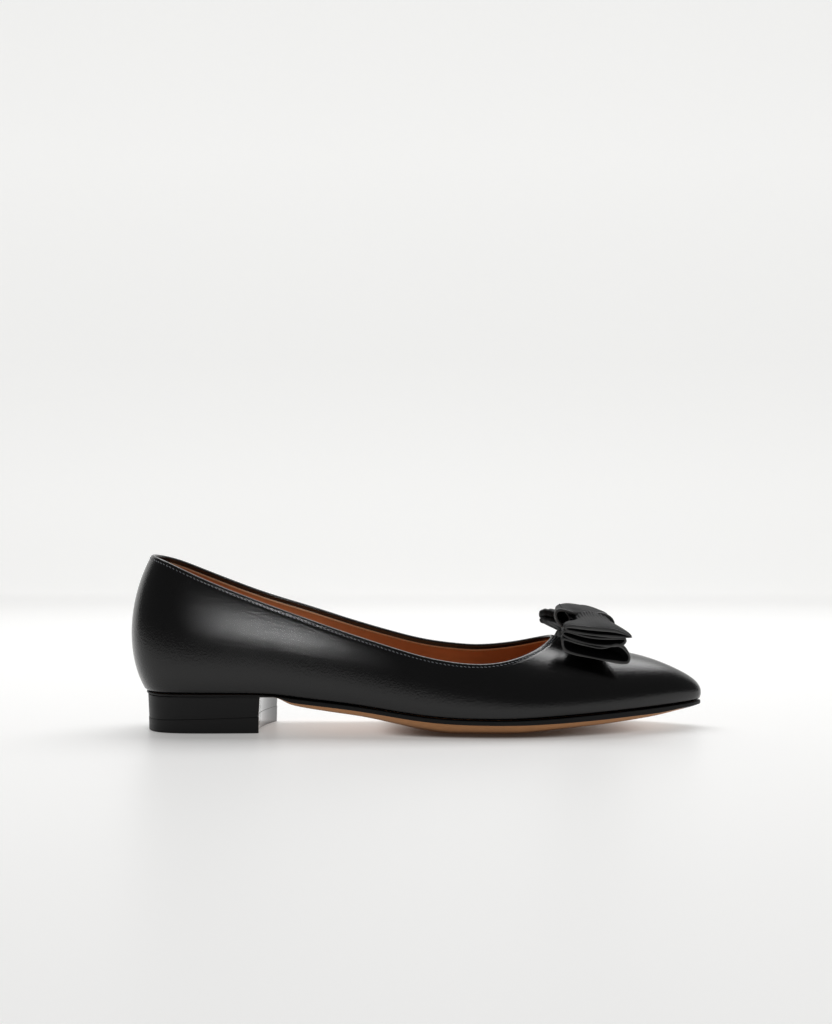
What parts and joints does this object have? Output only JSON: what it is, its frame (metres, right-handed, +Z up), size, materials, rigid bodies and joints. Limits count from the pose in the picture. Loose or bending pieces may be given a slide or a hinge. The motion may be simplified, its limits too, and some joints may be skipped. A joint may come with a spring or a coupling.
{
  "type": "ballet flat",
  "caption": "Low-heeled black leather ballet flat for the right foot, almond toe, open topline, tan lining and sole, and a ribbon bow on the vamp.",
  "frame": {"origin": "centre of the plan at the floor, under the middle of the shoe's length and width", "axes": "+X towards the toe, +Y towards the medial side of the right foot, +Z up from the floor"},
  "size_m": [0.2564, 0.0764, 0.0779],
  "materials": {
    "upper": "semi matte black calf",
    "insole": "smooth tan sock",
    "outsole": "buffed tan sole leather",
    "heel": "black stacked heel, slight gloss",
    "top_piece": "black, matte",
    "bow_lower_sleeve": "black leather ribbon",
    "bow_upper_sleeve": "black leather ribbon",
    "bow_knot": "black leather ribbon"
  },
  "bodies": {
    "root": {"upper": "upper", "insole": "insole", "outsole": "outsole", "heel": "heel", "top_piece": "top_piece", "bow_lower_sleeve": "bow_lower_sleeve", "bow_upper_sleeve": "bow_upper_sleeve", "bow_knot": "bow_knot"}
  },
  "joints": []
}
